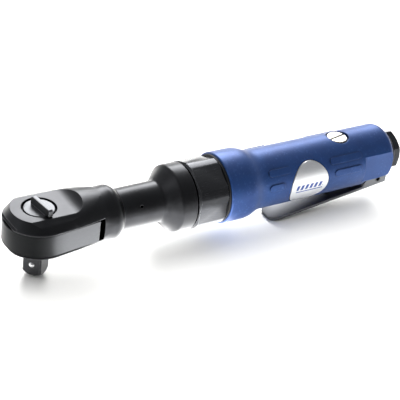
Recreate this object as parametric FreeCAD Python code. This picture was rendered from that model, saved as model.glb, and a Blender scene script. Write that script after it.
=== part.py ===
import FreeCAD, Part
import math
import os

from FreeCAD import Vector as V

# Air ratchet with a 3/8 inch square drive, in millimetres.
# The origin is where the drive axis crosses the axis of the motor body. +X runs along the body
# to the air inlet, +Z is up to the reversing knob, and the square drive points down.

# ---- fits and small clearances
RUN = 0.04              # radial running clearance of a shaft in a hole
SLIP = 0.05             # clearance between parts that are assembled by hand
END = 0.15              # end float between faces that turn past each other
PIVOT_GAP = 0.40        # play of the drive bush in the yoke, which takes up the missing crank curve

# ---- ratchet head
nose_r = 16.8           # radius of the head's nose, about the drive axis
side_taper = 7.4        # degrees that each side of the head closes towards the neck
face_z = 11.2           # height of the machined top and bottom faces
yoke_half = 5.85        # half the height of the fork's slot, where the yoke swings
rim_land = 0.6          # upright edge of each cheek beside the slot
top_inset = 3.3         # how far the top bevel runs in
bottom_inset = 6.3      # how far the bottom bevel runs in
flat_end = 13.0         # where the milled flats end and the cutter runs out
cutter_r = 14.0         # radius of the cutter's run-out
slot_x0 = 25.3          # rear face of the yoke
slot_x1 = 28.3          # bottom of the fork's slot
shoulder_r = 13.4       # round shoulder behind the fork
shoulder_x = 34.2
neck_r = 10.35
neck_x0 = 41.2
neck_x1 = 61.7
bell_r = 16.95
bell_x0 = 69.4
bell_x1 = 77.3
neck_bore_r = 6.2       # bore for the crankshaft's needle bearings
drive_bore_r = 8.35     # bore in the cheeks for the anvil
grease_hole_r = 0.8
grease_hole_x = 49.9

# ---- drive
square = 9.525          # 3/8 inch square drive
square_turn = 39.5      # degrees, the drive's resting angle
drive_tip_z = -24.0
drive_top_z = -12.2
flange_r = 9.6
flange_t = 1.15
washer_t = 0.75
ring_t = 0.85
ball_r = 1.75
ball_z = -18.5
ball_out = 0.75         # how far the detent ball stands out
teeth = 36              # internal teeth of the yoke
tooth_tip_r = 8.75
tooth_root_r = 9.65
pawl_pin_x = 6.3
pawl_pin_r = 1.2
pawl_half = 3.5         # half the height of the pawl
pocket_x = 1.6          # where the pawl's pocket in the anvil begins
knob_r = 7.4
knob_stem_r = 3.45
blade_t = 2.3
blade_h = 3.9
blade_near = 9.6        # reach of the blade on its thumb side
blade_far = 5.2
blade_turn = -82.0      # degrees, where the blade points at rest

# ---- crank and gears
throw = 2.2             # crank throw
yoke_arm = 20.2         # drive axis to the drive bush
crank_pin_r = 2.0
bush_r = 4.0
bush_half = yoke_half - throw - 0.35
shaft_r = 4.0
crank_disc_r = 5.7
crank_disc_t = 3.4
module = 0.6
pressure = 25.0
sun_teeth = 12
planet_teeth = 12
planets = 3
gear_w = 7.5
planet_pin_r = 1.5
carrier_r = module * (sun_teeth / 2 + planet_teeth - 0.85) - 0.69    # inside the ring gear's teeth
carrier_x0 = 72.6
front_disc_t = 4.0
rear_disc_t = 2.2
ring_gear_r = 13.0      # outside of the ring gear
backlash = 0.09         # taken off each flank

# ---- coupling nut and motor housing
spigot_r = 15.0         # threaded spigots on both sides of the joint
joint_x = 86.3          # where the head meets the motor housing inside the nut
nut_r = 17.4
nut_x0 = 77.9
nut_x1 = 95.1
nut_flats = 6
nut_flat_deg = 44.6     # how much of the circle each flat takes
nut_flat_turn = -5.3    # degrees from the -Y side up to the first flat's middle
seal_t = 0.8            # black seal ring between nut and housing
seal_r = 17.2
collar_r = 18.2
collar_x1 = 107.5
waist_x = 119.5
body_r = 15.4
motor_bore_r = 13.2
rim_r = 13.7
rim_len = 4.2
side_flat_y = 13.5
belly_z = -14.3         # flat under the housing for the lever

# ---- motor
front_plate_x = 90.2
front_plate_t = 7.6
cylinder_len = 56.0
cylinder_bore_r = 10.4
cylinder_offset = 1.0
rotor_r = 9.2
rotor_slots = 5
vane_t = 1.6
vane_h = 4.4
front_journal_r = 4.3
rear_journal_r = 3.0
rear_plate_t = 7.0
gasket_t = 0.8
bearing_w = 5.0
front_bearing_r = 7.8
rear_bearing_r = 6.5
motor_x1 = front_plate_x + front_plate_t + cylinder_len + rear_plate_t + gasket_t

# ---- rear of the housing, placed from the end of the motor
body_x1 = motor_x1 + 39.0
side_flat_x = motor_x1 + 19.4
belly_x = motor_x1 - 11.6

# ---- throttle
valve_x = motor_x1 + 9.0
valve_bore_r = 4.7
stem_r = 1.6
valve_head_r = 3.9
plug_r = 5.4
plug_top_z = 14.7
plug_t = 4.3
lever_pin_x = motor_x1 + 36.9
lever_pin_z = -13.0
lever_pin_r = 1.5
lever_slope = 7.05      # degrees, the lever's angle to the body at rest
lever_drop = 1.5        # pin axis down to the lever's upper face
lever_t = 1.6
lever_half = 7.65
lever_tip_x = motor_x1 - 29.8
lever_back_x = motor_x1 + 28.4
lug_half = 6.0
ear_t = 1.5
ear_cut_z = -8.1         # lower edge of the housing beside the ears, at its front
ear_cut_rise = 1.5
ear_cut_x = motor_x1 + 22.9

# ---- inlet and exhaust
inlet_bore_r = 8.0
inlet_bore_x = motor_x1 + 25.4
deflector_r = 12.0
deflector_wall = 0.9
deflector_len = 2.6
barrel_r = 9.0
hex_flats = 19.0
hex_len = 5.3
thread_bore_r = 5.7     # 1/4 inch pipe thread, inside
thread_len = 14.4
screen_r = 5.2
screen_t = 0.6
passage_r = 4.0
exhaust_hole_r = 1.2
exhaust_circle_r = 10.1
exhaust_at = (12, 42, 138, 168)     # degrees from +Y, clear of the valve

# ---- badge and raised bars on the housing
badge_x = motor_x1 - 16.3
badge_r = 11.4
badge_t = 0.5
badge_gap = 0.35
bar_h = 3.6
bar_out = 0.55

X = V(1, 0, 0)
Y = V(0, 1, 0)
Z = V(0, 0, 1)


def bar_x(r, x0, x1, y=0.0, z=0.0):
    return Part.makeCylinder(r, x1 - x0, V(x0, y, z), X)


def bar_z(r, z0, z1, x=0.0, y=0.0):
    return Part.makeCylinder(r, z1 - z0, V(x, y, z0), Z)


def bar_y(r, y0, y1, x, z):
    return Part.makeCylinder(r, y1 - y0, V(x, y0, z), Y)


def tube_x(r0, r1, x0, x1):
    return bar_x(r1, x0, x1).cut(bar_x(r0, x0 - 1, x1 + 1))


def tube_z(r0, r1, z0, z1):
    return bar_z(r1, z0, z1).cut(bar_z(r0, z0 - 1, z1 + 1))


def box(x0, x1, y0, y1, z0, z1):
    return Part.makeBox(x1 - x0, y1 - y0, z1 - z0, V(x0, y0, z0))


def line(a, b):
    return Part.LineSegment(V(*a), V(*b)).toShape()


def arc(a, m, b):
    return Part.Arc(V(*a), V(*m), V(*b)).toShape()


def turned(steps):
    """Solid turned about X. Each step is (x, r), or (mid x, mid r, end x, end r) for an arc."""
    edges = [line((steps[0][0], 0, 0), (steps[0][0], steps[0][1], 0))]
    at = (steps[0][0], steps[0][1], 0)
    for s in steps[1:]:
        end = (s[-2], s[-1], 0)
        edges.append(arc(at, (s[0], s[1], 0), end) if len(s) == 4 else line(at, end))
        at = end
    edges.append(line(at, (at[0], 0, 0)))
    edges.append(line((at[0], 0, 0), (steps[0][0], 0, 0)))
    face = Part.Face(Part.Wire(edges))
    return face.revolve(V(0, 0, 0), X, 360)


def polygon(points):
    ring = [V(*p) for p in points]
    return Part.Face(Part.makePolygon(ring + ring[:1]))


def about_x(shape, degrees):
    out = shape.copy()
    out.rotate(V(0, 0, 0), X, degrees)
    return out


def about_z(shape, degrees):
    out = shape.copy()
    out.rotate(V(0, 0, 0), Z, degrees)
    return out


def polar(r, degrees):
    a = math.radians(degrees)
    return r * math.cos(a), r * math.sin(a)


# ---------------------------------------------------------------- head outline
def head_plan(inset, z, x_end):
    """The head seen from above: a round nose with straight sides that close to the neck."""
    r = nose_r - inset
    tx, ty = polar(r, 90 - side_taper)
    drop = (x_end - tx) * math.tan(math.radians(side_taper))
    w = ty - drop
    return Part.Wire([
        arc((tx, -ty, z), (-r, 0, z), (tx, ty, z)),
        line((tx, ty, z), (x_end, w, z)),
        line((x_end, w, z), (x_end, -w, z)),
        line((x_end, -w, z), (tx, -ty, z))])


def ratchet_housing():
    x_end = slot_x1 + 3.0
    top_z = shoulder_r + 0.4
    land = yoke_half + rim_land
    slope = top_inset / (face_z - land)
    top = Part.makeLoft([head_plan(0, land, x_end), head_plan(slope * (top_z - land), top_z, x_end)], True)
    low = Part.makeLoft([head_plan(bottom_inset, -face_z, x_end), head_plan(0, -land, x_end)], True)
    mid = Part.Face(head_plan(0, -land, x_end)).extrude(V(0, 0, 2 * land))
    block = mid.fuse([top, low])

    wide = nose_r + 3
    round_off = turned([(-nose_r - 2, wide), (flat_end - 4, wide), (flat_end - 4, nose_r + 0.45),
                        (20.0, 15.3, 30.5, shoulder_r), (x_end, shoulder_r)])
    crown_r = 26.0
    crown = bar_x(crown_r, -nose_r - 2, x_end, 0, shoulder_r - crown_r)
    block = block.common(round_off).common(crown)

    rear_x = joint_x - 0.1
    body = turned([
        (8.0, shoulder_r), (shoulder_x, shoulder_r),
        (38.2, 12.65, neck_x0 - 1.6, neck_r + 0.75),
        (neck_x0 - 0.9, neck_r + 0.2, neck_x0, neck_r),
        (neck_x1, neck_r),
        (neck_x1 + 1.2, neck_r + 0.35, neck_x1 + 2.1, neck_r + 1.3),
        (bell_x0 - 1.3, bell_r - 1.0),
        (bell_x0 - 0.6, bell_r - 0.25, bell_x0 + 0.5, bell_r),
        (bell_x1 - 0.5, bell_r), (bell_x1, bell_r - 0.5),
        (bell_x1, spigot_r), (rear_x, spigot_r)])
    head = block.fuse(body)

    # machined flats with the cutter's run-out, top and bottom
    for side in (1, -1):
        slab = box(-nose_r - 5, flat_end, -25, 25, face_z, face_z + 9)
        run_out = bar_y(cutter_r, -25, 25, flat_end, face_z + cutter_r)
        cut = slab.fuse(run_out)
        if side < 0:
            cut = cut.mirror(V(0, 0, 0), Z)
        head = head.cut(cut)

    # slot for the yoke, bores for the anvil and for its flange, washer and ring
    head = head.cut(box(-nose_r - 5, slot_x1, -25, 25, -yoke_half, yoke_half))
    head = head.cut(bar_z(drive_bore_r, -face_z - 1, face_z + 1))
    head = head.cut(bar_z(flange_r + 0.1, -face_z - 1, seat_z() + SLIP))
    head = head.cut(bar_z(snap_r(), snap_z() - SLIP, snap_z() + ring_t + SLIP))

    # bore for the crankshaft and the gear chamber
    head = head.cut(bar_x(neck_bore_r, slot_x1 - 1, carrier_x0))
    head = head.cut(bar_x(carrier_r + 0.8, carrier_x0 - 0.5, ring_x0()))
    head = head.cut(bar_x(ring_gear_r + SLIP, ring_x0(), rear_x + 1))

    # wheel marks on the inner edge of both cheeks at the nose, and the grease hole
    for side in (1, -1):
        wedge = box(-2.2, 2.2, -12, 12, -2.2, 2.2)
        wedge.rotate(V(0, 0, 0), Y, 45)
        wedge.translate(V(-nose_r - 0.75, 0, side * (yoke_half + 1.1)))
        head = head.cut(wedge)
    hole = bar_z(grease_hole_r, neck_bore_r + 0.6, neck_r + 2, grease_hole_x)
    head = head.cut(about_x(hole, 60))
    return head.removeSplitter()


def seat_z():
    """Face in the lower cheek that the anvil's flange turns against."""
    return -yoke_half - 1.75


def snap_r():
    return flange_r + 0.65


def washer_z():
    return seat_z() - END - flange_t - END - washer_t


def snap_z():
    return washer_z() - SLIP - ring_t


# ---------------------------------------------------------------- drive
def anvil():
    r = drive_bore_r - RUN
    top = knob_z() - END
    flange_top = seat_z() - END
    post = bar_z(r, flange_top - 0.2, top)
    post = post.fuse(bar_z(flange_r, flange_top - flange_t, flange_top))
    post = post.fuse(bar_z(neck_under(), drive_top_z - 0.2, flange_top - flange_t + 0.2))
    half = square / 2
    drive = box(-half, half, -half, half, drive_tip_z, drive_top_z)
    turned_r = half * math.sqrt(2) - 0.5
    round_bar = bar_z(turned_r, drive_tip_z + 1.4, drive_top_z).fuse(
        Part.makeCone(turned_r - 1.2, turned_r, 1.4, V(0, 0, drive_tip_z), Z))
    drive = about_z(drive.common(round_bar), square_turn)
    post = post.fuse(drive)
    post = post.cut(bar_z(knob_stem_r + RUN, -pawl_half - 0.9, top + 1))
    post = post.cut(box(pocket_x, nose_r, -nose_r, nose_r, -pawl_half - SLIP, pawl_half + SLIP))
    post = post.cut(pawl_pin())
    bore = Part.makeCylinder(ball_r + RUN, ball_far() + square, ball_at(-ball_far()), ball_dir())
    return post.cut(bore).removeSplitter()


def neck_under():
    return min(flange_r - 2.6, square / 2 * math.sqrt(2) + 0.15)


def ball_dir():
    x, y = polar(1, square_turn + 180)
    return V(x, y, 0)


def ball_at(s):
    return ball_dir() * s + V(0, 0, ball_z)


def ball_s():
    """Distance from the drive axis to the ball's centre."""
    return square / 2 + ball_out - ball_r


def ball_far():
    return square / 2 - 1.3


def detent_ball():
    return Part.makeSphere(ball_r, ball_at(ball_s()))


def coil(wire_r, coil_r, length, turns):
    """A closed-end compression spring along +Z from the origin."""
    lift = length - 2 * wire_r
    path = Part.makeHelix(lift / turns, lift, coil_r)
    ring = Part.Wire([Part.makeCircle(wire_r, V(coil_r, 0, 0), Y)])
    spring = Part.Wire(path.Edges).makePipeShell([ring], True, True)
    spring.translate(V(0, 0, wire_r))
    return spring


def along(shape, base, direction):
    out = shape.copy()
    turn = FreeCAD.Rotation(Z, direction)
    out.Placement = FreeCAD.Placement(base, turn).multiply(out.Placement)
    return out


def detent_spring():
    length = ball_far() + ball_s() - ball_r - 2 * SLIP
    return along(coil(0.22, ball_r - 0.45, length, 4), ball_at(-ball_far() + SLIP), ball_dir())


def thrust_washer():
    return tube_z(neck_under() + 0.3, flange_r - 0.1, washer_z(), washer_z() + washer_t)


def snap_ring():
    ring = tube_z(neck_under() + 0.5, snap_r() - SLIP, snap_z(), snap_z() + ring_t)
    gap = box(0, nose_r, -1.6, 1.6, snap_z() - 1, snap_z() + ring_t + 1)
    ring = ring.cut(about_z(gap, 200))
    for side in (-1, 1):
        ring = ring.cut(bar_z(0.45, snap_z() - 1, snap_z() + 2, *polar(flange_r - 1.2, 200 + side * 16)))
    return ring


def yoke():
    inset = 0.12
    z0 = -yoke_half + END
    body = Part.Face(head_plan(inset, z0, slot_x0)).extrude(V(0, 0, -2 * z0))
    ends = [e for e in body.Edges if e.Length > 3 and abs(e.CenterOfMass.z) > -z0 - 0.01
            and e.CenterOfMass.x < slot_x0 - 0.5]
    body = body.makeFillet(0.35, ends)
    points = []
    for i in range(teeth):
        a = i * 360.0 / teeth
        points.append((*polar(tooth_root_r, a), z0 - 1))
        points.append((*polar(tooth_tip_r, a + 180.0 / teeth), z0 - 1))
    body = body.cut(polygon(points).extrude(V(0, 0, 2 - 2 * z0)))
    body = body.cut(bar_z(bush_r + PIVOT_GAP, z0 - 1, 1 - z0, yoke_arm))
    mouth = crank_pin_r + 0.9 + PIVOT_GAP
    return body.cut(box(yoke_arm, slot_x0 + 2, -mouth, mouth, z0 - 1, 1 - z0))


def pawl():
    """A double-ended pawl, drawn midway between its two working positions."""
    r_tip = tooth_tip_r - 0.38
    r_root = r_tip - 0.7
    back = knob_stem_r + 1.35
    span = 5
    pitch = 360.0 / teeth
    points = []
    for i in range(-span, span + 1):
        points.append((*polar(r_tip if abs(i) > 1 else r_root + 0.2, i * pitch), -pawl_half))
        if i < span:
            points.append((*polar(r_root, (i + 0.5) * pitch), -pawl_half))
    x, y = polar(r_tip, span * pitch)
    points += [(back + 0.3, y - 0.5, -pawl_half), (back, 2.2, -pawl_half),
               (back, -2.2, -pawl_half), (back + 0.3, 0.5 - y, -pawl_half)]
    body = polygon(points).extrude(V(0, 0, 2 * pawl_half))
    return body.cut(bar_z(pawl_pin_r + RUN, -10, 10, pawl_pin_x))


def pawl_pin():
    return bar_z(pawl_pin_r, -pawl_half - 1.8, pawl_half + 1.8, pawl_pin_x)


def knob_z():
    """Underside of the knob's disc."""
    return face_z - 2.2


def reverse_knob():
    z0, z1 = knob_z(), face_z - 0.25
    disc = bar_z(knob_r, z0, z1)
    rim = [e for e in disc.Edges if e.Length > knob_r and abs(e.CenterOfMass.z - z1) < 0.01]
    disc = disc.makeFillet(0.4, rim)
    stem = bar_z(knob_stem_r, -pawl_half - 0.6, z0 + 0.5)
    half = blade_t / 2
    top = z1 + blade_h
    over = face_z + 0.35
    side = [(-blade_far, 0, z1 - 0.5), (-blade_far, 0, top - 0.9), (0.9 - blade_far, 0, top),
            (blade_near - 0.8, 0, top), (blade_near, 0, top - 0.8), (blade_near, 0, over),
            (knob_r - 0.3, 0, over), (knob_r - 0.6, 0, z1 - 0.5)]
    blade = polygon(side).extrude(V(0, blade_t, 0))
    blade.translate(V(0, -half, 0))
    long_edges = [e for e in blade.Edges if abs(e.CenterOfMass.z - top) < 0.01 and e.Length > blade_far]
    blade = about_z(blade.makeFillet(0.35, long_edges), blade_turn)
    knob = disc.fuse([stem, blade])
    knob = knob.cut(bar_x(plunger_r() + RUN, -1.6, knob_stem_r + 1))
    return knob.removeSplitter()


def plunger_r():
    return 1.3


def knob_plunger():
    tip = knob_stem_r + 1.2
    body = bar_x(plunger_r(), 0.9, tip - plunger_r())
    return body.fuse(Part.makeSphere(plunger_r(), V(tip - plunger_r(), 0, 0))).removeSplitter()


def plunger_spring():
    return along(coil(0.18, 0.85, 2.3, 3), V(-1.5, 0, 0), X)


# ---------------------------------------------------------------- crank and gears
def ring_teeth():
    return sun_teeth + 2 * planet_teeth


def centre_r():
    return module * (sun_teeth + planet_teeth) / 2


def ring_x0():
    return carrier_x0 + front_disc_t


def gear_x0():
    return ring_x0() + END


def ring_x1():
    return gear_x0() + gear_w + END + rear_disc_t - 0.4


def flank(count, r, thin):
    """Half the angle of an involute tooth at radius r, in degrees."""
    pa = math.radians(pressure)
    pitch_r = module * count / 2
    base = pitch_r * math.cos(pa)
    half = math.pi / (2 * count) - thin / pitch_r + math.tan(pa) - pa
    if r > base:
        t = math.acos(base / r)
        half -= math.tan(t) - t
    return math.degrees(half)


def gear_face(count, add, ded, thin):
    """Outline of a spur gear about X, with its first tooth towards +Y."""
    pitch_r = module * count / 2
    tip, root = pitch_r + add * module, pitch_r - ded * module
    mid = (tip + root) / 2
    edges = []

    def at(r, a):
        y, z = polar(r, a)
        return (0, y, z)
    for i in range(count):
        c = 360.0 * i / count
        step = 360.0 / count
        hr, hm, ht = (flank(count, r, thin) for r in (root, mid, tip))
        edges.append(arc(at(root, c - hr), at(mid, c - hm), at(tip, c - ht)))
        edges.append(arc(at(tip, c - ht), at(tip, c), at(tip, c + ht)))
        edges.append(arc(at(tip, c + ht), at(mid, c + hm), at(root, c + hr)))
        edges.append(arc(at(root, c + hr), at(root, c + step / 2), at(root, c + step - hr)))
    return Part.Face(Part.Wire(edges))


def gear(count, x0, width, turn=0.0):
    face = gear_face(count, 0.9, 1.15, backlash / 2)
    face.rotate(V(0, 0, 0), X, turn)
    face.translate(V(x0, 0, 0))
    return face.extrude(V(width, 0, 0))


def planet_spin(i):
    """Rotation that puts planet i in mesh with the sun and the ring at rest."""
    place = 360.0 * i / planets
    sun_phase = place * sun_teeth / planet_teeth
    return place + sun_phase + 180.0 + 180.0 / planet_teeth


def planet_gear(i):
    y, z = polar(centre_r(), 360.0 * i / planets)
    body = gear(planet_teeth, gear_x0(), gear_w, planet_spin(i))
    body = body.cut(bar_x(planet_pin_r + RUN, gear_x0() - 1, gear_x0() + gear_w + 1))
    body.translate(V(0, y, z))
    return body


def ring_gear():
    count = ring_teeth()
    inner = gear_face(count, 1.2, 0.85, -backlash / 2)
    # a planet with an even count shows the ring a gap, so the ring has a tooth there
    inner.rotate(V(0, 0, 0), X, 180.0 / count if planet_teeth % 2 == 0 else 0.0)
    inner.translate(V(ring_x0() - 1, 0, 0))
    blank = bar_x(ring_gear_r, ring_x0(), ring_x1())
    return blank.cut(inner.extrude(V(ring_x1() - ring_x0() + 2, 0, 0)))


def planet_pins():
    pins = []
    for i in range(planets):
        y, z = polar(centre_r(), 360.0 * i / planets)
        pins.append(bar_x(planet_pin_r, ring_x0() - 3.0, gear_x0() + gear_w + END + rear_disc_t, y, z))
    return Part.makeCompound(pins)


def crankshaft():
    disc_x0 = slot_x1 + 0.5
    disc_x1 = disc_x0 + crank_disc_t
    rear_x0 = gear_x0() + gear_w + END
    rear_x1 = rear_x0 + rear_disc_t
    body = bar_x(crank_pin_r, yoke_arm - bush_r + 0.7, disc_x0 + 1, 0, throw)
    body = body.fuse([bar_x(crank_disc_r, disc_x0, disc_x1),
                      bar_x(shaft_r, disc_x1 - 1, carrier_x0 + 1),
                      bar_x(carrier_r, carrier_x0, ring_x0()),
                      bar_x(carrier_r, rear_x0, rear_x1)])
    tip = module * (planet_teeth / 2 + 0.9)
    spread = math.degrees(math.asin(tip / centre_r()))
    half = 180.0 / planets - spread - 4.5
    inner = module * (sun_teeth / 2 + 0.9) + 0.5
    for i in range(planets):
        web = tube_x(inner, carrier_r, ring_x0() - 0.5, rear_x0 + 0.5)
        y0, z0 = polar(2 * carrier_r, -half)
        y1, z1 = polar(2 * carrier_r, half)
        wedge = polygon([(ring_x0() - 1, 0, 0), (ring_x0() - 1, y0, z0), (ring_x0() - 1, y1, z1)])
        web = web.common(wedge.extrude(V(rear_x0 - ring_x0() + 2, 0, 0)))
        body = body.fuse(about_x(web, 360.0 * (i + 0.5) / planets))
    body = body.cut(bar_x(inner, ring_x0() - 0.6, rear_x1 + 1))
    body = body.cut(planet_pins())
    return body.removeSplitter()


def drive_bush():
    body = bar_z(bush_r, throw - bush_half, throw + bush_half, yoke_arm)
    ends = [e for e in body.Edges if e.Length > bush_r * 4]
    body = body.makeChamfer(0.4, ends)
    return body.cut(bar_x(crank_pin_r + RUN, 0, 60, 0, throw))


def needle_bearing(x0, length):
    shell_r = neck_bore_r - 0.8
    roller_r = (shell_r - shaft_r) / 2 - 0.02
    count = int(2 * math.pi * (shaft_r + roller_r) / (2.3 * roller_r))
    shell = tube_x(shell_r, neck_bore_r, x0, x0 + length)
    lips = tube_x(shaft_r + 0.5, neck_bore_r - 0.4, x0, x0 + 0.6)
    far = tube_x(shaft_r + 0.5, neck_bore_r - 0.4, x0 + length - 0.6, x0 + length)
    parts = [shell.fuse([lips, far])]
    for i in range(count):
        y, z = polar(shaft_r + 0.02 + roller_r, 360.0 * i / count)
        parts.append(bar_x(roller_r - 0.01, x0 + 0.7, x0 + length - 0.7, y, z))
    return Part.makeCompound(parts)


# ---------------------------------------------------------------- coupling nut and housing
def clamp_nut():
    edge = 1.0
    body = turned([(nut_x0, nut_r - edge * 0.8), (nut_x0 + edge, nut_r), (nut_x1 - edge * 0.7, nut_r),
                   (nut_x1, nut_r - edge * 0.7)])
    apothem = nut_r * math.cos(math.radians(nut_flat_deg / 2))
    for i in range(nut_flats):
        slab = box(nut_x0 + 1.3, nut_x1 + 1, apothem, nut_r + 2, -nut_r, nut_r)
        ramp = polygon([(nut_x0 - 0.3, apothem + 1.6, -nut_r), (nut_x0 + 1.3, apothem, -nut_r),
                        (nut_x0 + 1.3, nut_r + 2, -nut_r), (nut_x0 - 0.3, nut_r + 2, -nut_r)])
        cut = slab.fuse(ramp.extrude(V(0, 0, 2 * nut_r)))
        body = body.cut(about_x(cut, 180 - nut_flat_turn + 360.0 * i / nut_flats))
    return body.cut(bar_x(spigot_r + SLIP, nut_x0 - 1, nut_x1 + 1))


def seal_ring():
    return tube_x(spigot_r + SLIP, seal_r, nut_x1 + SLIP, nut_x1 + SLIP + seal_t)


def collar_x0():
    return nut_x1 + seal_t + 3 * SLIP


def plate_x1():
    return front_plate_x + front_plate_t


def cylinder_x1():
    return plate_x1() + cylinder_len


def bore_end():
    return motor_x1


def badge_outline(grow):
    """Round badge drawn out to a blunt corner at its lower front, as a solid across the housing."""
    r = badge_r + grow
    corner = 8.5
    edges = [arc((badge_x - r, 0, 0), (badge_x, 0, r), (badge_x + r, 0, 0)),
             arc((badge_x + r, 0, 0), (badge_x + r * 0.7071, 0, -r * 0.7071), (badge_x, 0, -r)),
             line((badge_x, 0, -r), (badge_x - r + corner, 0, -r)),
             arc((badge_x - r + corner, 0, -r),
                 (badge_x - r + corner * 0.293, 0, -r + corner * 0.293),
                 (badge_x - r, 0, -r + corner)),
             line((badge_x - r, 0, -r + corner), (badge_x - r, 0, 0))]
    return Part.Face(Part.Wire(edges)).extrude(V(0, -body_r - 5, 0))


def badge():
    shell = tube_x(body_r - badge_t, body_r + 0.12, badge_x - 20, badge_x + 20)
    return shell.common(badge_outline(0))


def raised_bar(x0, x1, degrees):
    """A low rounded bar moulded on the housing, this many degrees up from the side."""
    r = bar_h / 2
    slab = box(x0 + r, x1 - r, -body_r - 3, 0, -r, r)
    slab = slab.fuse([bar_y(r, -body_r - 3, 0, x0 + r, 0), bar_y(r, -body_r - 3, 0, x1 - r, 0)])
    slab = about_x(slab, -degrees)
    return slab.common(tube_x(body_r - 0.3, body_r + bar_out, x0 - 1, x1 + 1))


def motor_housing():
    c0 = collar_x0()
    mid_x = (collar_x1 + waist_x) / 2
    mid_r = (collar_r + body_r) / 2
    q = (waist_x - collar_x1) / 4
    bulge = (collar_r - body_r) * 0.14
    body = turned([
        (joint_x + 0.1, spigot_r), (c0, spigot_r), (c0, collar_r - 0.7),
        (c0 + 0.2, collar_r - 0.2, c0 + 0.7, collar_r), (collar_x1, collar_r),
        (collar_x1 + q, collar_r - bulge, mid_x, mid_r),
        (waist_x - q, body_r + bulge, waist_x, body_r),
        (body_x1 - rim_len, body_r),
        (body_x1 - rim_len * 0.3, body_r - (body_r - rim_r) * 0.3, body_x1, rim_r)])
    bars = [(waist_x + 0.8, waist_x + 13.9, 38.5), (waist_x + 0.7, waist_x + 9.9, 10.0),
            (motor_x1 - 3.4, motor_x1 + 17.0, 36.5), (motor_x1 - 0.8, motor_x1 + 16.6, 11.5)]
    for x0, x1, up in bars:
        bar = raised_bar(x0, x1, up)
        body = body.fuse([bar, bar.mirror(V(0, 0, 0), Y)])

    # flat sides and belly at the rear, and room for the lever's ears beside the lug
    for side in (1, -1):
        y0, y1 = sorted((side * side_flat_y, side * 30))
        body = body.cut(box(side_flat_x, body_x1 + 1, y0, y1, -30, 30))
        y0 = side * (lug_half + 0.02)
        under = polygon([(ear_cut_x, y0, -30), (body_x1 + 1, y0, -30),
                         (body_x1 + 1, y0, ear_cut_z + ear_cut_rise), (ear_cut_x, y0, ear_cut_z)])
        body = body.cut(under.extrude(V(0, side * 25, 0)))
    body = body.cut(box(belly_x, lever_pin_x - 4.2, -30, 30, -30, belly_z))
    lug = bar_y(lug_r(), -lug_half, lug_half, lever_pin_x, lever_pin_z)
    lug = lug.fuse(box(lever_pin_x - lug_r(), body_x1, -lug_half, lug_half, lever_pin_z, ear_cut_z + 1))
    lug = lug.cut(box(body_x1, body_x1 + lug_r() + 5, -20, 20, -30, 0))
    body = body.cut(box(lever_pin_x - 4.2, body_x1 + 1, -30, 30, -30, lever_pin_z)).fuse(lug)
    body = body.cut(bar_y(lever_pin_r, -30, 30, lever_pin_x, lever_pin_z))

    # motor bore, badge recess, valve bore with its stem hole
    body = body.cut(bar_x(motor_bore_r, joint_x - 1, bore_end()))
    recess = tube_x(body_r - badge_t, body_r + 3, badge_x - 20, badge_x + 20)
    body = body.cut(recess.common(badge_outline(badge_gap)))
    body = body.cut(bar_z(valve_bore_r, seat_bottom(), plug_z() + 0.5, valve_x))
    body = body.cut(bar_z(valve_bore_r - 1.6, seat_bottom() - 5.5, seat_bottom() + 1, valve_x))
    body = body.cut(bar_z(stem_r + SLIP, -30, 0, valve_x))
    body = body.cut(bar_z(plug_r + SLIP, plug_z(), body_r + 1, valve_x))
    body = body.cut(bar_z(plug_r + 0.75, plug_top_z - 0.9, body_r + 1, valve_x))

    # air passages and the inlet's threaded bore
    body = body.cut(bar_x(inlet_bore_r, inlet_bore_x, body_x1 + 1))
    body = body.cut(bar_x(2.2, valve_x, inlet_bore_x + 1, 0, seat_top() + 3.2))
    body = body.cut(bar_x(1.8, bore_end() - 1, valve_x, 0, seat_bottom() - 2.6))
    for a in exhaust_at:
        y, z = polar(exhaust_circle_r, a)
        body = body.cut(bar_x(exhaust_hole_r, bore_end() - 1, body_x1 + 1, y, z))
    return body.removeSplitter()


def lug_r():
    return 3.2


# ---------------------------------------------------------------- motor
def front_end_plate():
    x0, x1 = front_plate_x, plate_x1()
    body = bar_x(motor_bore_r - SLIP, x0, x1)
    body = body.cut(bar_x(front_bearing_r, x0 + 1.2, x0 + 1.2 + bearing_w))
    body = body.cut(bar_x(front_bearing_r - 1.0, x0 - 1, x0 + 1.3))
    body = body.cut(bar_x(front_journal_r + 0.12, x0, x1 + 1))
    return body.cut(dowel())


def ball_bearing(x0, bore_r, out_r, width):
    mid = (bore_r + out_r) / 2
    ring_h = (out_r - bore_r) * 0.24
    r = (out_r - bore_r) / 2 - ring_h + 0.35
    groove = Part.makeTorus(mid, r + 0.02, V(x0 + width / 2, 0, 0), X)
    outer = tube_x(out_r - ring_h, out_r, x0, x0 + width).cut(groove)
    inner = tube_x(bore_r, bore_r + ring_h, x0, x0 + width).cut(groove)
    count = int(math.pi * mid / r / 1.25)
    parts = [outer, inner]
    for i in range(count):
        y, z = polar(mid, 360.0 * i / count)
        parts.append(Part.makeSphere(r, V(x0 + width / 2, y, z)))
    return Part.makeCompound(parts)


def front_bearing():
    return ball_bearing(front_plate_x + 1.2, front_journal_r + RUN, front_bearing_r, bearing_w)


def rear_bearing():
    return ball_bearing(cylinder_x1() + 1.0, rear_journal_r + RUN, rear_bearing_r, bearing_w)


def motor_cylinder():
    x0, x1 = plate_x1(), cylinder_x1()
    body = bar_x(motor_bore_r - SLIP, x0, x1)
    body = body.cut(bar_x(cylinder_bore_r, x0 - 1, x1 + 1, 0, -cylinder_offset))
    for k in range(6):
        x = x0 + (x1 - x0) * (k + 1.5) / 8
        port = Part.makeCylinder(1.5, motor_bore_r + 1, V(x, 0, 0), V(0, -0.8, 0.6))
        body = body.cut(port)
    return body.cut(dowel())


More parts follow.
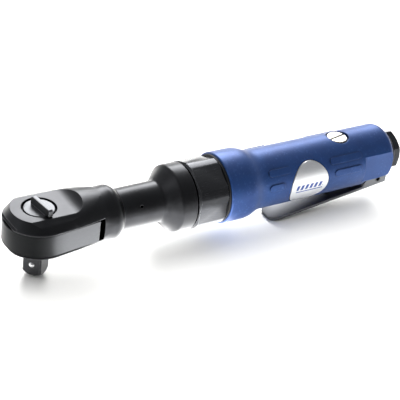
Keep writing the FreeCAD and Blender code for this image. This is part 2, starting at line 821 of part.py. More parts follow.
def dowel():
    y, z = polar(motor_bore_r - 1.25, 90)
    return bar_x(0.75, plate_x1() - 4, cylinder_x1() + 4, y, z)


def rear_end_plate():
    x0, x1 = cylinder_x1(), cylinder_x1() + rear_plate_t
    body = bar_x(motor_bore_r - SLIP, x0, x1)
    body = body.cut(bar_x(rear_bearing_r, x0 + 1.0, x1 + 1))
    body = body.cut(bar_x(rear_journal_r + 0.12, x0 - 1, x1))
    return body.cut(dowel())


def gasket():
    x0 = cylinder_x1() + rear_plate_t
    ring = tube_x(rear_bearing_r - 0.6, motor_bore_r - SLIP, x0, x0 + gasket_t)
    for a in exhaust_at:
        y, z = polar(exhaust_circle_r, a)
        ring = ring.cut(bar_x(exhaust_hole_r + 0.2, x0 - 1, x0 + gasket_t + 1, y, z))
    return ring


def gear_spacer():
    return tube_x(ring_gear_r - 1.9, ring_gear_r, ring_x1() + SLIP, front_plate_x - SLIP)


def rotor():
    x0, x1 = plate_x1() + END, cylinder_x1() - END
    body = bar_x(rotor_r, x0, x1)
    for i in range(rotor_slots):
        slot = box(x0 - 1, x1 + 1, -vane_t / 2 - RUN, vane_t / 2 + RUN, rotor_r - vane_h - 0.3, rotor_r + 1)
        body = body.cut(about_x(slot, 360.0 * i / rotor_slots))
    pinion_x0 = gear_x0() + END
    neck = gear_x0() + gear_w + 2 * END
    body = body.fuse([bar_x(front_journal_r, front_plate_x + 0.4, x0 + 0.5),
                      bar_x(rear_journal_r, x1 - 0.5, cylinder_x1() + rear_plate_t - 0.6),
                      bar_x(module * (sun_teeth / 2 - 1.15) - 0.15, neck - 1, front_plate_x + 1),
                      gear(sun_teeth, pinion_x0, gear_w - END)])
    return body.removeSplitter()


def rotor_vanes():
    x0, x1 = plate_x1() + 2 * END, cylinder_x1() - 2 * END
    vane = box(x0, x1, -vane_t / 2, vane_t / 2, rotor_r - vane_h, rotor_r)
    return Part.makeCompound([about_x(vane, 360.0 * i / rotor_slots) for i in range(rotor_slots)])


# ---------------------------------------------------------------- throttle
def seat_top():
    return 1.0


def seat_bottom():
    return -1.2


def plug_z():
    return plug_top_z - plug_t


def valve_seat():
    ring = bar_z(valve_bore_r, seat_bottom(), seat_top(), valve_x)
    return ring.cut(bar_z(stem_r + 0.8, seat_bottom() - 1, seat_top() + 1, valve_x))


def stem_end_z():
    """Lower end of the stem, just clear of the lever's upper face."""
    arm = lever_pin_x - valve_x
    slope = math.radians(lever_slope)
    return lever_pin_z - lever_drop / math.cos(slope) - arm * math.tan(slope) + stem_gap()


def stem_gap():
    return 0.06 + stem_r * math.tan(math.radians(lever_slope)) * 0.5


def valve_stem():
    z0 = stem_end_z()
    body = bar_z(stem_r, z0 + 0.7, seat_top() + 1, valve_x)
    head = Part.makeCone(valve_head_r, valve_head_r - 0.8, 2.4, V(valve_x, 0, seat_top() + SLIP), Z)
    body = body.fuse([Part.makeCone(stem_r - 0.6, stem_r, 0.7, V(valve_x, 0, z0), Z), head,
                      bar_z(1.5, seat_top() + 1, seat_top() + 4.4, valve_x)])
    return body.removeSplitter()


def valve_spring():
    z0 = seat_top() + SLIP + 2.4 + SLIP
    spring = coil(0.35, 2.3, plug_z() - SLIP - z0, 5)
    spring.translate(V(valve_x, 0, z0))
    return spring


def valve_plug():
    groove_z = plug_z() + 1.2
    body = bar_z(plug_r, plug_z(), plug_top_z, valve_x)
    top = [e for e in body.Edges if e.Length > plug_r and abs(e.CenterOfMass.z - plug_top_z) < 0.01]
    body = body.makeChamfer(0.35, top)
    slot = box(-plug_r - 1, plug_r + 1, -0.6, 0.6, plug_top_z - 1.2, plug_top_z + 1)
    slot.rotate(V(0, 0, 0), Z, 12)
    slot.translate(V(valve_x, 0, 0))
    groove = tube_z(plug_r - 2 * seal_wire_r() - SLIP, plug_r + 1, groove_z, groove_z + 1.1)
    groove.translate(V(valve_x, 0, 0))
    return body.cut(slot).cut(groove)


def seal_wire_r():
    return 0.42


def plug_seal():
    return Part.makeTorus(plug_r - seal_wire_r(), seal_wire_r(), V(valve_x, 0, plug_z() + 1.75), Z)


def lever_profile():
    """Side view of the lever's plate, straight with a tip that curls down, at rest."""
    slope = math.radians(lever_slope)

    def top_at(x):
        return lever_pin_z - lever_drop / math.cos(slope) - (lever_pin_x - x) * math.tan(slope)
    curl_x = lever_tip_x + 9.0
    tip_x, tip_z = lever_tip_x, top_at(lever_tip_x) - 1.5
    mid_x = lever_tip_x + 4.3
    mid_z = top_at(mid_x) - 0.38
    t = lever_t / math.cos(slope)
    x1, z1 = lever_back_x, top_at(lever_back_x)
    edges = [line((x1, 0, z1), (curl_x, 0, top_at(curl_x))),
             arc((curl_x, 0, top_at(curl_x)), (mid_x, 0, mid_z), (tip_x, 0, tip_z)),
             line((tip_x, 0, tip_z), (tip_x + 0.35, 0, tip_z - t)),
             arc((tip_x + 0.35, 0, tip_z - t), (mid_x + 0.2, 0, mid_z - t),
                 (curl_x, 0, top_at(curl_x) - t)),
             line((curl_x, 0, top_at(curl_x) - t), (x1, 0, z1 - t)),
             line((x1, 0, z1 - t), (x1, 0, z1))]
    return Part.Face(Part.Wire(edges)), z1, t


def throttle_lever():
    face, back_z, t = lever_profile()
    plate = face.extrude(V(0, 2 * lever_half, 0))
    plate.translate(V(0, -lever_half, 0))
    r = lever_half - 0.7
    a = r * (1 - math.sqrt(0.5))
    x0, w = lever_tip_x - 0.2, lever_half
    outline = Part.Wire([
        line((lever_back_x + 1, -w, -60), (x0 + r, -w, -60)),
        arc((x0 + r, -w, -60), (x0 + a, -w + a, -60), (x0, -w + r, -60)),
        line((x0, -w + r, -60), (x0, w - r, -60)),
        arc((x0, w - r, -60), (x0 + a, w - a, -60), (x0 + r, w, -60)),
        line((x0 + r, w, -60), (lever_back_x + 1, w, -60)),
        line((lever_back_x + 1, w, -60), (lever_back_x + 1, -w, -60))])
    plate = plate.common(Part.Face(outline).extrude(V(0, 0, 80)))
    low = back_z - t
    rise = math.tan(math.radians(lever_slope))
    ear_x0, ear_x1 = lever_back_x - 1.6, lever_pin_x + 5.4
    low0 = low - (lever_back_x - ear_x0) * rise
    low1 = low + (ear_x1 - lever_back_x) * rise
    top = lever_pin_z + 2.5
    end = lever_pin_z + 1.1
    side = Part.Wire([
        line((ear_x0, 0, low0), (ear_x1, 0, low1)),
        line((ear_x1, 0, low1), (ear_x1, 0, end)),
        line((ear_x1, 0, end), (lever_pin_x + 1.4, 0, top)),
        line((lever_pin_x + 1.4, 0, top), (lever_pin_x - 2.6, 0, top)),
        arc((lever_pin_x - 2.6, 0, top), (ear_x0 + 1.5, 0, top - 2.6), (ear_x0, 0, low0))])
    lever = plate
    for side_y in (-lever_half, lever_half - ear_t):
        ear = Part.Face(side).extrude(V(0, ear_t, 0))
        ear.translate(V(0, side_y, 0))
        lever = lever.fuse(ear)
    lever = lever.cut(bar_y(lever_pin_r + RUN, -30, 30, lever_pin_x, lever_pin_z))
    return lever.removeSplitter()


def lever_pin():
    """Rolled spring pin, open at both ends."""
    pin = bar_y(lever_pin_r, -lever_half - 0.1, lever_half + 0.1, lever_pin_x, lever_pin_z)
    return pin.cut(bar_y(lever_pin_r - 0.45, -lever_half - 1, lever_half + 1, lever_pin_x, lever_pin_z))


# ---------------------------------------------------------------- inlet and exhaust
def deflector_x0():
    return body_x1 + END


def hex_x0():
    return deflector_x0() + deflector_len + END


def inlet_end():
    return hex_x0() + hex_len


def inlet_bushing():
    flat = hex_flats / 2
    body = turned([(inlet_bore_x + 0.3, inlet_bore_r - 0.8), (inlet_bore_x + 1.0, inlet_bore_r),
                   (body_x1, inlet_bore_r), (body_x1, barrel_r), (hex_x0(), barrel_r),
                   (hex_x0(), barrel_r + 1.0), (hex_x0() + 0.8, barrel_r + 1.9),
                   (inlet_end() - 1.1, barrel_r + 1.9), (inlet_end(), flat - 0.4)])
    for i in range(6):
        slab = box(hex_x0() - 0.05, inlet_end() + 1, -20, 20, flat, flat + 10)
        body = body.cut(about_x(slab, 60.0 * i + 30))
    mouth = inlet_end() - thread_len
    body = body.cut(bar_x(thread_bore_r, mouth, inlet_end() + 1))
    body = body.cut(bar_x(screen_r, mouth - screen_t, mouth + 1))
    return body.cut(bar_x(passage_r, 0, inlet_end())).removeSplitter()


def inlet_screen():
    x0 = inlet_end() - thread_len - screen_t
    disc = bar_x(screen_r, x0, x0 + screen_t)
    for i in range(-3, 4):
        for k in range(-3, 4):
            if math.hypot(i, k) * 1.25 < screen_r - 1.1:
                disc = disc.cut(bar_x(0.42, x0 - 1, x0 + 2, i * 1.25, k * 1.25))
    return disc


def exhaust_deflector():
    """Low ring that swivels on the bushing and turns the exhaust to one side."""
    x0, x1 = deflector_x0(), deflector_x0() + deflector_len
    body = turned([(x0, deflector_r - 0.3), (x0 + 0.3, deflector_r), (x1 - 0.8, deflector_r),
                   (x1, deflector_r - 0.8)])
    body = body.cut(bar_x(deflector_r - deflector_wall, x0 - 1, x1 - 0.9))
    body = body.cut(bar_x(barrel_r + RUN, x0 - 1, x1 + 1))
    for i in range(5):
        slot = box(x0 + 0.5, x1 - 0.9, -1.1, 1.1, 0, deflector_r + 2)
        body = body.cut(about_x(slot, -130 + 20.0 * i))
    return body


def muffler():
    return tube_x(barrel_r + RUN + 0.1, deflector_r - deflector_wall - 0.3,
                  body_x1 + SLIP, deflector_x0() + deflector_len - 1.1)


def build():
    made = {
        "ratchet_housing": ratchet_housing, "yoke": yoke, "anvil": anvil,
        "detent_ball": detent_ball, "detent_spring": detent_spring,
        "thrust_washer": thrust_washer, "snap_ring": snap_ring,
        "pawl": pawl, "pawl_pin": pawl_pin, "reverse_knob": reverse_knob,
        "knob_plunger": knob_plunger, "plunger_spring": plunger_spring,
        "crankshaft": crankshaft, "planet_pins": planet_pins, "drive_bush": drive_bush,
        "ring_gear": ring_gear, "gear_spacer": gear_spacer, "clamp_nut": clamp_nut,
        "seal_ring": seal_ring, "motor_housing": motor_housing, "badge": badge,
        "front_end_plate": front_end_plate, "front_bearing": front_bearing,
        "motor_cylinder": motor_cylinder, "cylinder_dowel": dowel, "rotor": rotor,
        "rotor_vanes": rotor_vanes, "rear_end_plate": rear_end_plate,
        "rear_bearing": rear_bearing, "gasket": gasket, "valve_seat": valve_seat,
        "valve_stem": valve_stem, "valve_spring": valve_spring, "valve_plug": valve_plug,
        "plug_seal": plug_seal, "throttle_lever": throttle_lever, "lever_pin": lever_pin,
        "inlet_bushing": inlet_bushing, "inlet_screen": inlet_screen,
        "exhaust_deflector": exhaust_deflector, "muffler": muffler}
    shapes = {name: maker() for name, maker in made.items()}
    for i in range(planets):
        shapes["planet_gear_%d" % (i + 1)] = planet_gear(i)
    shapes["front_needle_bearing"] = needle_bearing(34.5, 10.0)
    shapes["rear_needle_bearing"] = needle_bearing(58.5, 10.0)
    return shapes


os.makedirs("parts", exist_ok=True)
for node, shape in build().items():
    shape.exportStep("parts/%s.step" % node)
    print(node, "%.1f mm3" % shape.Volume, "valid" if shape.isValid() else "NOT VALID", len(shape.Solids))
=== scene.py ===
import math

import bpy
from mathutils import Matrix, Vector


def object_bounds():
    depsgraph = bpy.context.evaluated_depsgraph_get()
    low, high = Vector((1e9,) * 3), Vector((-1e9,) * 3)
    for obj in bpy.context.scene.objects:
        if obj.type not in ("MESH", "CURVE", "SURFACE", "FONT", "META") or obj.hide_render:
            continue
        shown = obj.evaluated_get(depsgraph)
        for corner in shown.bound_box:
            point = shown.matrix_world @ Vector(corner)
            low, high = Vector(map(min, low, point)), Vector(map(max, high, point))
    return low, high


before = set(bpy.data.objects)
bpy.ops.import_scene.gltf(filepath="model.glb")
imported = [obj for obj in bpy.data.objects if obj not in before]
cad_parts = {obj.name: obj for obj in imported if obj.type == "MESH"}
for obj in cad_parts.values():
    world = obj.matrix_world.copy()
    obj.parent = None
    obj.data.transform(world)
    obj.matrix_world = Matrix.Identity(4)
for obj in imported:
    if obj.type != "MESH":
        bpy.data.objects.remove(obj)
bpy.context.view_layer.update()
mm = 0.001
print("frame loaded")


# ---------- colours and nodes

def linear(hexColour):
    # sRGB hex to the linear values that the sockets take
    out = []
    for i in (0, 2, 4):
        c = int(hexColour[i:i + 2], 16) / 255
        out.append(c / 12.92 if c <= 0.04045 else ((c + 0.055) / 1.055) ** 2.4)
    return (*out, 1)


def addNode(tree, kind, settings={}, links={}):
    node = tree.nodes.new(kind)
    for key, value in settings.items():
        if isinstance(key, int) or key in node.inputs:
            node.inputs[key].default_value = value
        else:
            setattr(node, key, value)
    for key, source in links.items():
        tree.links.new(source, node.inputs[key])
    return node


def newMaterial(name):
    mat = bpy.data.materials.new(name)
    mat.use_nodes = True
    tree = mat.node_tree
    shader = tree.nodes["Principled BSDF"]
    place = addNode(tree, "ShaderNodeTexCoord")
    return mat, tree, shader, place.outputs["Object"]


def perMm(size):
    # a texture scale whose grain is this many millimetres, in a scene in metres
    return 1 / (size * mm)


# ---------- finishes

# cosine between a face and its rounded edge: where wear starts, and where it is full
edgeWear = {"starts": 0.995, "full": 0.9, "metal": "b9bbbe", "metalEdge": 0.18}


blackOxide = {"dark": "262628", "light": "353638", "edge": "6e6f72",
              "grain": 0.7, "cloud": 9, "rough": 0.32, "edgeWidth": 0.35, "grainDepth": 0.03}


def blackOxideForging():
    # forged steel, blasted and black oxided: satin black-grey that mirrors a soft light as pale grey
    s = blackOxide
    mat, tree, shader, place = newMaterial("blackOxideForging")
    cloud = addNode(tree, "ShaderNodeTexNoise", {"Scale": perMm(s["cloud"]), "Detail": 3.0},
                    {"Vector": place})
    grain = addNode(tree, "ShaderNodeTexNoise", {"Scale": perMm(s["grain"]), "Detail": 4.0},
                    {"Vector": place})
    tone = addNode(tree, "ShaderNodeMix",
                   {"data_type": "RGBA", 6: linear(s["dark"]), 7: linear(s["light"])},
                   {0: cloud.outputs["Fac"]})
    rough = addNode(tree, "ShaderNodeMapRange",
                    {"To Min": s["rough"] - 0.05, "To Max": s["rough"] + 0.07},
                    {"Value": grain.outputs["Fac"]})
    rounded = addNode(tree, "ShaderNodeBevel", {"samples": 6, "Radius": s["edgeWidth"] * mm})
    shape = addNode(tree, "ShaderNodeNewGeometry")
    edge = addNode(tree, "ShaderNodeVectorMath", {"operation": "DOT_PRODUCT"},
                   {0: rounded.outputs[0], 1: shape.outputs["Normal"]})
    worn = addNode(tree, "ShaderNodeMapRange",
                   {"From Min": edgeWear["starts"], "From Max": edgeWear["full"], "To Max": 0.55},
                   {"Value": edge.outputs["Value"]})
    colour = addNode(tree, "ShaderNodeMix", {"data_type": "RGBA", 7: linear(s["edge"])},
                     {0: worn.outputs[0], 6: tone.outputs[2]})
    bump = addNode(tree, "ShaderNodeBump", {"Strength": 0.18, "Distance": s["grainDepth"] * mm},
                   {"Height": grain.outputs["Fac"], "Normal": rounded.outputs[0]})
    shader.inputs["Metallic"].default_value = 1.0
    tree.links.new(colour.outputs[2], shader.inputs["Base Color"])
    tree.links.new(rough.outputs[0], shader.inputs["Roughness"])
    tree.links.new(bump.outputs[0], shader.inputs["Normal"])
    return mat


steelFinishes = {
    # name: colour, lighter colour, roughness, grain in mm along x, y, z
    "groundHardenedSteel": ("8e9094", "b4b6b9", 0.28, (2.0, 0.15, 0.15)),
    "darkDriveSteel": ("343537", "454648", 0.32, (0.3, 0.3, 1.5)),
    # the yoke is the same black forging as the head; its paler colour is painted reflection of the
    # bright floor on its sides
    "yokeSteelPaintedSheen": ("3f4042", "505153", 0.36, (1.6, 1.6, 0.3)),
    "brightBearingSteel": ("d6d7d9", "e4e5e6", 0.12, (0.6, 0.6, 0.6)),
    "drawnSpringWire": ("a3a5a8", "bcbec0", 0.25, (0.4, 0.4, 0.4)),
    "castKnobSteel": ("454648", "6c6d70", 0.42, (0.7, 0.7, 0.7)),
    "blackOxideNut": ("2c2d2f", "4a4b4e", 0.25, (4.0, 0.35, 0.35)),
    "blackOxideBushing": ("26272a", "3a3b3f", 0.3, (0.12, 1.2, 1.2)),
    "turnedBronze": ("9a7238", "c09a58", 0.3, (0.2, 1.0, 1.0)),
    "groundIron": ("6d6e70", "8a8b8c", 0.4, (0.15, 1.2, 1.2)),
    "platedChrome": ("9c9a94", "b8b6b1", 0.24, (1.0, 1.0, 1.0)),
    "satinBadgeAluminium": ("d8dadd", "ecedef", 0.38, (5.0, 0.1, 0.1)),
}


def metalFinish(name):
    # metal with the fine direction that its tool left, worn a little lighter along its edges
    dark, light, roughness, grainSize = steelFinishes[name]
    mat, tree, shader, place = newMaterial(name)
    stretch = addNode(tree, "ShaderNodeMapping", {"Scale": [perMm(g) for g in grainSize]},
                      {"Vector": place})
    grain = addNode(tree, "ShaderNodeTexNoise", {"Scale": 1.0, "Detail": 5.0, "Roughness": 0.6},
                    {"Vector": stretch.outputs[0]})
    tone = addNode(tree, "ShaderNodeMix", {"data_type": "RGBA", 6: linear(dark), 7: linear(light)},
                   {0: grain.outputs["Fac"]})
    rough = addNode(tree, "ShaderNodeMapRange", {"To Min": roughness * 0.8, "To Max": roughness * 1.25},
                    {"Value": grain.outputs["Fac"]})
    rounded = addNode(tree, "ShaderNodeBevel", {"samples": 6, "Radius": edgeWear["metalEdge"] * mm})
    shape = addNode(tree, "ShaderNodeNewGeometry")
    edge = addNode(tree, "ShaderNodeVectorMath", {"operation": "DOT_PRODUCT"},
                   {0: rounded.outputs[0], 1: shape.outputs["Normal"]})
    worn = addNode(tree, "ShaderNodeMapRange",
                   {"From Min": edgeWear["starts"], "From Max": edgeWear["full"], "To Max": 0.5},
                   {"Value": edge.outputs["Value"]})
    colour = addNode(tree, "ShaderNodeMix", {"data_type": "RGBA", 7: linear(edgeWear["metal"])},
                     {0: worn.outputs[0], 6: tone.outputs[2]})
    bump = addNode(tree, "ShaderNodeBump", {"Strength": 0.12, "Distance": 0.02 * mm},
                   {"Height": grain.outputs["Fac"], "Normal": rounded.outputs[0]})
    shader.inputs["Metallic"].default_value = 1.0
    tree.links.new(colour.outputs[2], shader.inputs["Base Color"])
    tree.links.new(rough.outputs[0], shader.inputs["Roughness"])
    tree.links.new(bump.outputs[0], shader.inputs["Normal"])
    return mat


bluePaint = {"deep": "17356e", "mid": "244c8a", "fleck": "3f63a2",
             "grain": 0.9, "fleckSize": 0.8, "cloud": 14, "peelDepth": 0.06, "edge": 0.4}


def texturedBluePaint():
    # metallic blue enamel sprayed over a blasted casting: fine orange peel with small bright flecks
    s = bluePaint
    mat, tree, shader, place = newMaterial("texturedBluePaint")
    peel = addNode(tree, "ShaderNodeTexNoise",
                   {"Scale": perMm(s["grain"]), "Detail": 3.0, "Roughness": 0.55},
                   {"Vector": place})
    cloud = addNode(tree, "ShaderNodeTexNoise", {"Scale": perMm(s["cloud"]), "Detail": 2.0},
                    {"Vector": place})
    flakes = addNode(tree, "ShaderNodeTexVoronoi", {"Scale": perMm(s["fleckSize"])}, {"Vector": place})
    tone = addNode(tree, "ShaderNodeMix",
                   {"data_type": "RGBA", 6: linear(s["deep"]), 7: linear(s["mid"])},
                   {0: cloud.outputs["Fac"]})
    speck = addNode(tree, "ShaderNodeMapRange", {"From Min": 0.72, "From Max": 0.95, "To Max": 0.35},
                    {"Value": flakes.outputs["Color"]})
    colour = addNode(tree, "ShaderNodeMix", {"data_type": "RGBA", 7: linear(s["fleck"])},
                     {0: speck.outputs[0], 6: tone.outputs[2]})
    rough = addNode(tree, "ShaderNodeMapRange", {"To Min": 0.36, "To Max": 0.52},
                    {"Value": peel.outputs["Fac"]})
    rounded = addNode(tree, "ShaderNodeBevel", {"samples": 6, "Radius": s["edge"] * mm})
    bump = addNode(tree, "ShaderNodeBump", {"Strength": 0.35, "Distance": s["peelDepth"] * mm},
                   {"Height": peel.outputs["Fac"], "Normal": rounded.outputs[0]})
    shader.inputs["Metallic"].default_value = 0.5
    shader.inputs["Coat Weight"].default_value = 0.1
    shader.inputs["Coat Roughness"].default_value = 0.35
    tree.links.new(colour.outputs[2], shader.inputs["Base Color"])
    tree.links.new(rough.outputs[0], shader.inputs["Roughness"])
    tree.links.new(bump.outputs[0], shader.inputs["Normal"])
    return mat


softFinishes = {
    # name: colour, lighter colour, roughness, grain mm, bump mm
    "mouldedBlackNylon": ("141416", "232427", 0.42, 0.4, 0.03),
    "blackNitrileRubber": ("0d0d0e", "18181a", 0.6, 0.5, 0.03),
    "pressedFelt": ("8f897c", "b3ad9f", 0.95, 0.25, 0.12),
    "clothPhenolic": ("6a3f1f", "8d5c33", 0.5, 0.3, 0.03),
}


def softFinish(name):
    # moulded, pressed or laminated stuff without metal in it
    dark, light, roughness, grainSize, depth = softFinishes[name]
    mat, tree, shader, place = newMaterial(name)
    grain = addNode(tree, "ShaderNodeTexNoise", {"Scale": perMm(grainSize), "Detail": 4.0},
                    {"Vector": place})
    tone = addNode(tree, "ShaderNodeMix", {"data_type": "RGBA", 6: linear(dark), 7: linear(light)},
                   {0: grain.outputs["Fac"]})
    rough = addNode(tree, "ShaderNodeMapRange",
                    {"To Min": roughness - 0.05, "To Max": min(1, roughness + 0.08)},
                    {"Value": grain.outputs["Fac"]})
    rounded = addNode(tree, "ShaderNodeBevel", {"samples": 6, "Radius": 0.2 * mm})
    bump = addNode(tree, "ShaderNodeBump", {"Strength": 0.3, "Distance": depth * mm},
                   {"Height": grain.outputs["Fac"], "Normal": rounded.outputs[0]})
    tree.links.new(tone.outputs[2], shader.inputs["Base Color"])
    tree.links.new(rough.outputs[0], shader.inputs["Roughness"])
    tree.links.new(bump.outputs[0], shader.inputs["Normal"])
    return mat


# in mm: the line's place and thickness, and the blocks' pitch, height and place above it
badgeMark = {"ink": "2f4f9e", "middle": 145.3, "low": -3.2, "half": 8.3, "lineHalf": 0.3,
             "pitch": 2.8, "filled": 0.6, "rise": 2.5, "blockHalf": 1.4, "lean": 0.35}


def badgeFinish():
    # satin aluminium with a plain printed mark: a thin line under leaning blocks
    s = badgeMark
    mat = metalFinish("satinBadgeAluminium")
    tree = mat.node_tree
    shader = tree.nodes["Principled BSDF"]
    place = [n for n in tree.nodes if n.bl_idname == "ShaderNodeTexCoord"][0]
    split = addNode(tree, "ShaderNodeSeparateXYZ", {}, {0: place.outputs["Object"]})

    def calc(operation, a, b):
        values = {i: v for i, v in enumerate((a, b)) if isinstance(v, (int, float))}
        sources = {i: v for i, v in enumerate((a, b)) if not isinstance(v, (int, float))}
        return addNode(tree, "ShaderNodeMath", {"operation": operation, **values}, sources).outputs[0]

    def within(value, centre, half):
        return calc("LESS_THAN", calc("ABSOLUTE", calc("SUBTRACT", value, centre * mm), 0), half * mm)

    x, z = split.outputs["X"], split.outputs["Z"]
    line = calc("MULTIPLY", within(z, s["low"], s["lineHalf"]), within(x, s["middle"], s["half"]))
    leaning = calc("ADD", x, calc("MULTIPLY", z, -s["lean"]))
    phase = calc("FRACT", calc("DIVIDE", leaning, s["pitch"] * mm), 0)
    blocks = calc("MULTIPLY", calc("LESS_THAN", phase, s["filled"]),
                  within(z, s["low"] + s["rise"], s["blockHalf"]))
    blocks = calc("MULTIPLY", blocks, within(x, s["middle"], s["half"]))
    ink = calc("MAXIMUM", line, blocks)
    metal = shader.inputs["Base Color"].links[0].from_socket
    colour = addNode(tree, "ShaderNodeMix", {"data_type": "RGBA", 7: linear(s["ink"])},
                     {0: ink, 6: metal})
    bare = calc("SUBTRACT", 1, ink)
    tree.links.new(colour.outputs[2], shader.inputs["Base Color"])
    tree.links.new(bare, shader.inputs["Metallic"])
    return mat


leverSteel = {"plate": "5c5d60", "ear": "6c6e71", "earFrom": 189.0, "blend": 1.2, "rough": 0.42}


def pressedLeverSteel():
    # spring steel sheet, dark from hardening, with ears ground bright at the hinge
    s = leverSteel
    mat, tree, shader, place = newMaterial("pressedLeverSteel")
    stretch = addNode(tree, "ShaderNodeMapping", {"Scale": [perMm(4), perMm(0.2), perMm(0.2)]},
                      {"Vector": place})
    grain = addNode(tree, "ShaderNodeTexNoise", {"Scale": 1.0, "Detail": 5.0},
                    {"Vector": stretch.outputs[0]})
    split = addNode(tree, "ShaderNodeSeparateXYZ", {}, {0: place})
    bright = addNode(tree, "ShaderNodeMapRange",
                     {"From Min": s["earFrom"] * mm, "From Max": (s["earFrom"] + s["blend"]) * mm},
                     {"Value": split.outputs["X"]})
    tone = addNode(tree, "ShaderNodeMix",
                   {"data_type": "RGBA", 6: linear(s["plate"]), 7: linear(s["ear"])},
                   {0: bright.outputs[0]})
    rough = addNode(tree, "ShaderNodeMapRange",
                    {"To Min": s["rough"] - 0.05, "To Max": s["rough"] + 0.1},
                    {"Value": grain.outputs["Fac"]})
    rounded = addNode(tree, "ShaderNodeBevel", {"samples": 6, "Radius": 0.25 * mm})
    bump = addNode(tree, "ShaderNodeBump", {"Strength": 0.15, "Distance": 0.02 * mm},
                   {"Height": grain.outputs["Fac"], "Normal": rounded.outputs[0]})
    shader.inputs["Metallic"].default_value = 1.0
    tree.links.new(tone.outputs[2], shader.inputs["Base Color"])
    tree.links.new(rough.outputs[0], shader.inputs["Roughness"])
    tree.links.new(bump.outputs[0], shader.inputs["Normal"])
    return mat


def paintCavityShade(mat, reach, depth):
    # painted shade: inside corners and recesses, found by ambient occlusion, are painted a little
    # darker than open faces, standing in for the shade that falls there
    tree = mat.node_tree
    shader = tree.nodes["Principled BSDF"]
    base = shader.inputs["Base Color"].links[0].from_socket
    cavity = addNode(tree, "ShaderNodeAmbientOcclusion", {"samples": 6, "Distance": reach * mm})
    shade = addNode(tree, "ShaderNodeMapRange", {"From Min": 0.45, "From Max": 0.95, "To Min": depth},
                    {"Value": cavity.outputs["AO"]})
    mix = addNode(tree, "ShaderNodeMix", {"data_type": "RGBA", 6: (0, 0, 0, 1)},
                  {0: shade.outputs[0], 7: base})
    tree.links.new(mix.outputs[2], shader.inputs["Base Color"])


def paintYokeNoseShade(mat):
    # painted reflection and shade: the colour darkens smoothly towards the round nose (negative x), so
    # the straight sides stay pale and the nose dark, standing in for the floor reflecting in the sides
    # and not in the nose
    paintedNoseShade, blendHalf = "1f2021", 9
    tree = mat.node_tree
    shader = tree.nodes["Principled BSDF"]
    base = shader.inputs["Base Color"].links[0].from_socket
    place = addNode(tree, "ShaderNodeTexCoord")
    split = addNode(tree, "ShaderNodeSeparateXYZ", {}, {0: place.outputs["Object"]})
    noseShadeRamp = addNode(tree, "ShaderNodeMapRange",
                   {"interpolation_type": "SMOOTHSTEP", "From Min": -blendHalf * mm,
                    "From Max": blendHalf * mm},
                   {"Value": split.outputs["X"]})
    mix = addNode(tree, "ShaderNodeMix", {"data_type": "RGBA", 6: linear(paintedNoseShade)},
                  {0: noseShadeRamp.outputs[0], 7: base})
    tree.links.new(mix.outputs[2], shader.inputs["Base Color"])


finishes = {name: metalFinish(name) for name in steelFinishes if name != "satinBadgeAluminium"}
finishes.update({name: softFinish(name) for name in softFinishes})
finishes["blackOxideForging"] = blackOxideForging()
finishes["texturedBluePaint"] = texturedBluePaint()
finishes["pressedLeverSteel"] = pressedLeverSteel()
finishes["satinBadgeAluminium"] = badgeFinish()

# painted shade in the corners and recesses of the blue paint and the black forging
paintCavityShade(finishes["texturedBluePaint"], 1.4, 0.35)
paintCavityShade(finishes["blackOxideForging"], 1.2, 0.35)
# painted reflection on the yoke: pale sides, dark nose
paintYokeNoseShade(finishes["yokeSteelPaintedSheen"])

nodeFinish = {
    "ratchet_housing": "blackOxideForging", "yoke": "yokeSteelPaintedSheen", "anvil": "darkDriveSteel",
    "detent_ball": "brightBearingSteel", "reverse_knob": "castKnobSteel", "clamp_nut": "blackOxideNut",
    "seal_ring": "blackNitrileRubber", "motor_housing": "texturedBluePaint",
    "badge": "satinBadgeAluminium",
    "front_end_plate": "groundIron", "motor_cylinder": "groundIron", "rear_end_plate": "groundIron",
    "rotor_vanes": "clothPhenolic", "drive_bush": "turnedBronze", "valve_seat": "turnedBronze",
    "gasket": "blackNitrileRubber", "plug_seal": "blackNitrileRubber", "valve_plug": "platedChrome",
    "throttle_lever": "pressedLeverSteel", "lever_pin": "darkDriveSteel",
    "inlet_bushing": "blackOxideBushing",
    "exhaust_deflector": "mouldedBlackNylon", "muffler": "pressedFelt",
    "planet_pins": "brightBearingSteel",
    "cylinder_dowel": "brightBearingSteel", "front_bearing": "brightBearingSteel",
    "rear_bearing": "brightBearingSteel", "front_needle_bearing": "brightBearingSteel",
    "rear_needle_bearing": "brightBearingSteel", "detent_spring": "drawnSpringWire",
    "plunger_spring": "drawnSpringWire", "valve_spring": "drawnSpringWire",
    "inlet_screen": "drawnSpringWire",
    "snap_ring": "drawnSpringWire",
}


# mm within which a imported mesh's points are one, and degrees from which an edge is a corner
meshJoin, cornerAngle = 0.002, 24


def dressNodes():
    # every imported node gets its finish, smooth shading on curves and crisp edges on corners
    for name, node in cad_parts.items():
        node.data.materials.clear()
        node.data.materials.append(finishes[nodeFinish.get(name, "groundHardenedSteel")])
        node.data.polygons.foreach_set("use_smooth", [True] * len(node.data.polygons))
        weld = node.modifiers.new("weld", "WELD")
        weld.merge_threshold = meshJoin * mm
        split = node.modifiers.new("corners", "EDGE_SPLIT")
        split.split_angle = math.radians(cornerAngle)


dressNodes()
print("finishes on", len(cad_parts), "nodes")


# ---------- studio

studio = {"floor": "f2f1ee", "floorLight": "fafaf8", "floorHalf": 2.5, "sky": "f8f9fb", "skyBack": 0.8,
          "skyFront": 0.32, "floorGlow": 2.2, "poolSize": 2.4, "poolHeight": 1.6}


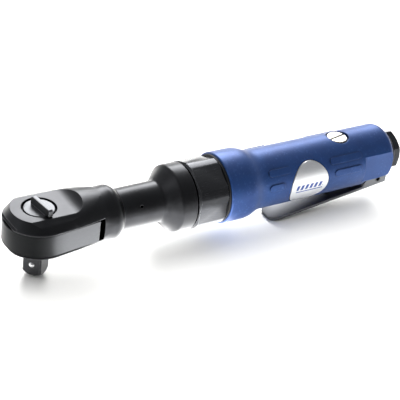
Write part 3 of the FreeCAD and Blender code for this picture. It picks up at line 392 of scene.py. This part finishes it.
def makeStudio():
    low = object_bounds()[0]
    mesh = bpy.data.meshes.new("floor")
    half = studio["floorHalf"]
    mesh.from_pydata([(-half, -half, low.z), (half, -half, low.z), (half, half, low.z),
                      (-half, half, low.z)],
                     [], [(0, 1, 2, 3)])
    floor = bpy.data.objects.new("floor", mesh)
    bpy.context.collection.objects.link(floor)
    mat, tree, shader, place = newMaterial("paleStudioFloor")
    paper = addNode(tree, "ShaderNodeTexNoise", {"Scale": perMm(60), "Detail": 2.0}, {"Vector": place})
    tone = addNode(tree, "ShaderNodeMix",
                   {"data_type": "RGBA", 6: linear(studio["floor"]), 7: linear(studio["floorLight"])},
                   {0: paper.outputs["Fac"]})
    shader.inputs["Roughness"].default_value = 0.8
    tree.links.new(tone.outputs[2], shader.inputs["Base Color"])
    mesh.materials.append(mat)

    world = bpy.data.worlds.new("studioSky")
    bpy.context.scene.world = world
    world.use_nodes = True
    tree = world.node_tree
    place = addNode(tree, "ShaderNodeTexCoord")
    split = addNode(tree, "ShaderNodeSeparateXYZ", {}, {0: place.outputs["Generated"]})
    glow = addNode(tree, "ShaderNodeMapRange",
                   {"From Min": -0.7, "From Max": 0.6, "To Min": studio["skyFront"],
                    "To Max": studio["skyBack"]},
                   {"Value": split.outputs["Y"]})
    tree.links.new(glow.outputs[0], tree.nodes["Background"].inputs["Strength"])
    tree.nodes["Background"].inputs["Color"].default_value = linear(studio["sky"])


lights = {
    # name: where in mm, what it looks at, size in m, radiance
    "headSoftbox": ((380, 760, 560), (10, 0, 10), (0.38, 0.34), 8),
    "backSoftbox": ((520, 700, 560), (70, 0, 5), (0.5, 0.55), 8),
    "leftCard": ((-740, 150, 600), (0, 0, 5), (0.4, 0.4), 1.2),
    "lightTable": ((62, -32, -24.8), (62, -32, 50), (0.09, 0.07), 4.5),
}


def makeLights():
    # softboxes, and a strip of light table that lifts the undersides
    for name, (place, aim, size, radiance) in lights.items():
        data = bpy.data.lights.new(name, "AREA")
        data.shape, data.size, data.size_y = "RECTANGLE", size[0], size[1]
        data.energy = radiance * math.pi * size[0] * size[1]
        lamp = bpy.data.objects.new(name, data)
        bpy.context.collection.objects.link(lamp)
        lamp.location = Vector(place) * mm
        lamp.rotation_mode = "QUATERNION"
        lamp.rotation_quaternion = (Vector(aim) - Vector(place)).to_track_quat("-Z", "Y")
        lamp.visible_camera = False

    # an even pool on the floor only, so that the backdrop stays clean
    data = bpy.data.lights.new("floorPool", "AREA")
    data.size = studio["poolSize"]
    data.energy = studio["floorGlow"] * math.pi * data.size ** 2
    lamp = bpy.data.objects.new("floorPool", data)
    bpy.context.collection.objects.link(lamp)
    lamp.location = (0.1, 0, studio["poolHeight"])
    lamp.visible_camera = False
    only = bpy.data.collections.new("litByPool")
    only.objects.link(bpy.data.objects["floor"])
    lamp.light_linking.receiver_collection = only


camera = {"azimuth": 35.65, "elevation": 32.2, "roll": 7.96, "distance": 609.0, "lens": 118.5,
          "aim": (66.1, -32.3, 19.4)}


def makeCamera():
    data = bpy.data.cameras.new("camera")
    data.lens = camera["lens"]
    data.sensor_width = 36
    data.clip_start = 0.01
    eye = bpy.data.objects.new("camera", data)
    bpy.context.collection.objects.link(eye)
    a, e, r = (math.radians(camera[k]) for k in ("azimuth", "elevation", "roll"))
    ahead = Vector((math.cos(e) * math.sin(a), math.cos(e) * math.cos(a), -math.sin(e)))
    level = Vector((math.cos(a), -math.sin(a), 0))
    upward = level.cross(ahead)
    right = math.cos(r) * level + math.sin(r) * upward
    up = math.cos(r) * upward - math.sin(r) * level
    turn = Matrix((right, up, -ahead)).transposed()
    place = Vector(camera["aim"]) * mm - ahead * camera["distance"] * mm
    eye.matrix_world = Matrix.Translation(place) @ turn.to_4x4()
    bpy.context.scene.camera = eye


makeStudio()
makeCamera()
makeLights()
bpy.context.scene.view_settings.view_transform = "Standard"
print("studio and camera set")
